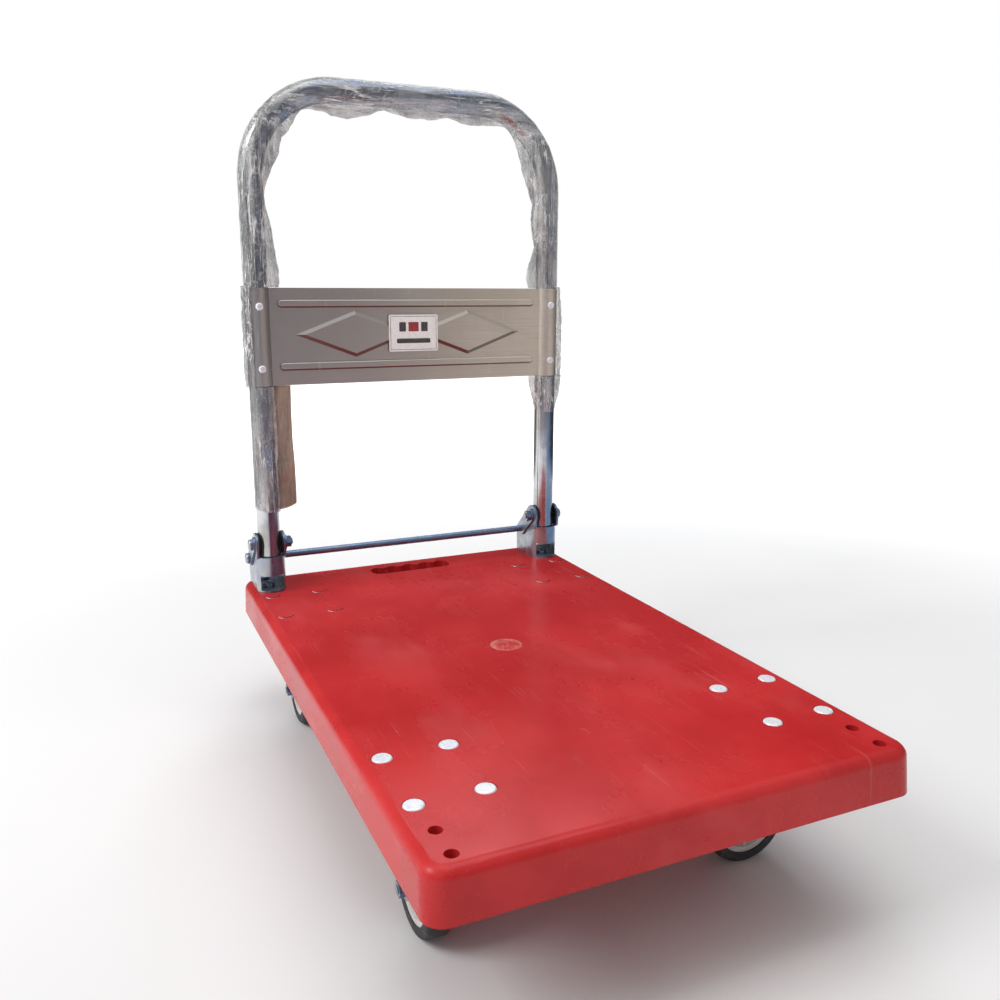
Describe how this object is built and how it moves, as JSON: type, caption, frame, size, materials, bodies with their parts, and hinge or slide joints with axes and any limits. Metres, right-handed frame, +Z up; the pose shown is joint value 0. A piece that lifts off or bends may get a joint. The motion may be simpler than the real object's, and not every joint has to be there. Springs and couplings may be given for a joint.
{
  "type": "folding platform cart",
  "caption": "Platform cart with a ribbed plastic deck, a folding tube handle with a crosspanel, a release bar and two swivel and two fixed casters.",
  "frame": {"origin": "on the floor, below the centre of the deck", "axes": "+Z up, +Y towards the handle, +X to the right as seen from the front of the cart looking at the handle"},
  "size_m": [0.452, 0.727, 0.7958],
  "materials": {
    "red_plastic": "glossy moulded plastic, lightly smudged",
    "zinc": "bright zinc plate",
    "chrome_tube": "bright plated tube",
    "satin_panel": "satin pressed sheet",
    "label": "printed sticker",
    "film": "clear wrinkled wrapping film",
    "black_plastic": "moulded nylon",
    "white_plastic": "moulded polypropylene",
    "tyre": "dark grey rubber"
  },
  "bodies": {
    "cart": {"deck": "red_plastic", "caster_bolts": "zinc", "caster_nuts": "zinc", "rear_bolt_plugs": "red_plastic", "bracket_bolts": "zinc", "bracket_nuts": "zinc", "left_bracket": "zinc", "right_bracket": "zinc", "pivot_bolts": "zinc", "pivot_nuts": "zinc", "pivot_washers": "black_plastic", "front_left_caster_plate": "zinc", "front_left_race_balls": "zinc", "front_right_caster_plate": "zinc", "front_right_race_balls": "zinc", "rear_left_caster_plate": "zinc", "rear_left_caster_fork": "zinc", "rear_left_axle": "zinc", "rear_right_caster_plate": "zinc", "rear_right_caster_fork": "zinc", "rear_right_axle": "zinc"},
    "handle": {"handle_tube": "chrome_tube", "pivot_bushes": "zinc", "crosspanel": "satin_panel", "panel_screws": "zinc", "label": "label", "film_top": "film", "film_left": "film", "film_right": "film"},
    "release": {"release_bar": "zinc", "bar_end_caps": "zinc", "release_arms": "zinc"},
    "front_left_fork": {"front_left_caster_fork": "zinc", "front_left_axle": "zinc"},
    "front_left_wheel": {"front_left_axle_bush": "black_plastic", "front_left_wheel_core": "white_plastic", "front_left_tyre": "tyre"},
    "front_right_fork": {"front_right_caster_fork": "zinc", "front_right_axle": "zinc"},
    "front_right_wheel": {"front_right_axle_bush": "black_plastic", "front_right_wheel_core": "white_plastic", "front_right_tyre": "tyre"},
    "rear_left_wheel": {"rear_left_axle_bush": "black_plastic", "rear_left_wheel_core": "white_plastic", "rear_left_tyre": "tyre"},
    "rear_right_wheel": {"rear_right_axle_bush": "black_plastic", "rear_right_wheel_core": "white_plastic", "rear_right_tyre": "tyre"}
  },
  "joints": [
    {"name": "handle_fold", "type": "hinge", "parent": "cart", "child": "handle", "pos_m": [0, 0.302, 0.224], "axis": [1, 0, 0], "range_deg": [0, 90]},
    {"name": "release_slide", "type": "slide", "parent": "cart", "child": "release", "axis": [0, -0.7557, 0.6549], "range_m": [0, 0.01]},
    {"name": "front_left_swivel", "type": "hinge", "parent": "cart", "child": "front_left_fork", "pos_m": [-0.173, -0.231, 0.12], "axis": [0, 0, 1], "continuous": true},
    {"name": "front_left_spin", "type": "hinge", "parent": "front_left_fork", "child": "front_left_wheel", "pos_m": [-0.173, -0.206, 0.045], "axis": [1, 0, 0], "continuous": true},
    {"name": "front_right_swivel", "type": "hinge", "parent": "cart", "child": "front_right_fork", "pos_m": [0.173, -0.231, 0.12], "axis": [0, 0, 1], "continuous": true},
    {"name": "front_right_spin", "type": "hinge", "parent": "front_right_fork", "child": "front_right_wheel", "pos_m": [0.148, -0.231, 0.045], "axis": [0, 1, 0], "continuous": true},
    {"name": "rear_left_spin", "type": "hinge", "parent": "cart", "child": "rear_left_wheel", "pos_m": [-0.173, 0.24, 0.045], "axis": [1, 0, 0], "continuous": true},
    {"name": "rear_right_spin", "type": "hinge", "parent": "cart", "child": "rear_right_wheel", "pos_m": [0.173, 0.24, 0.045], "axis": [1, 0, 0], "continuous": true}
  ]
}
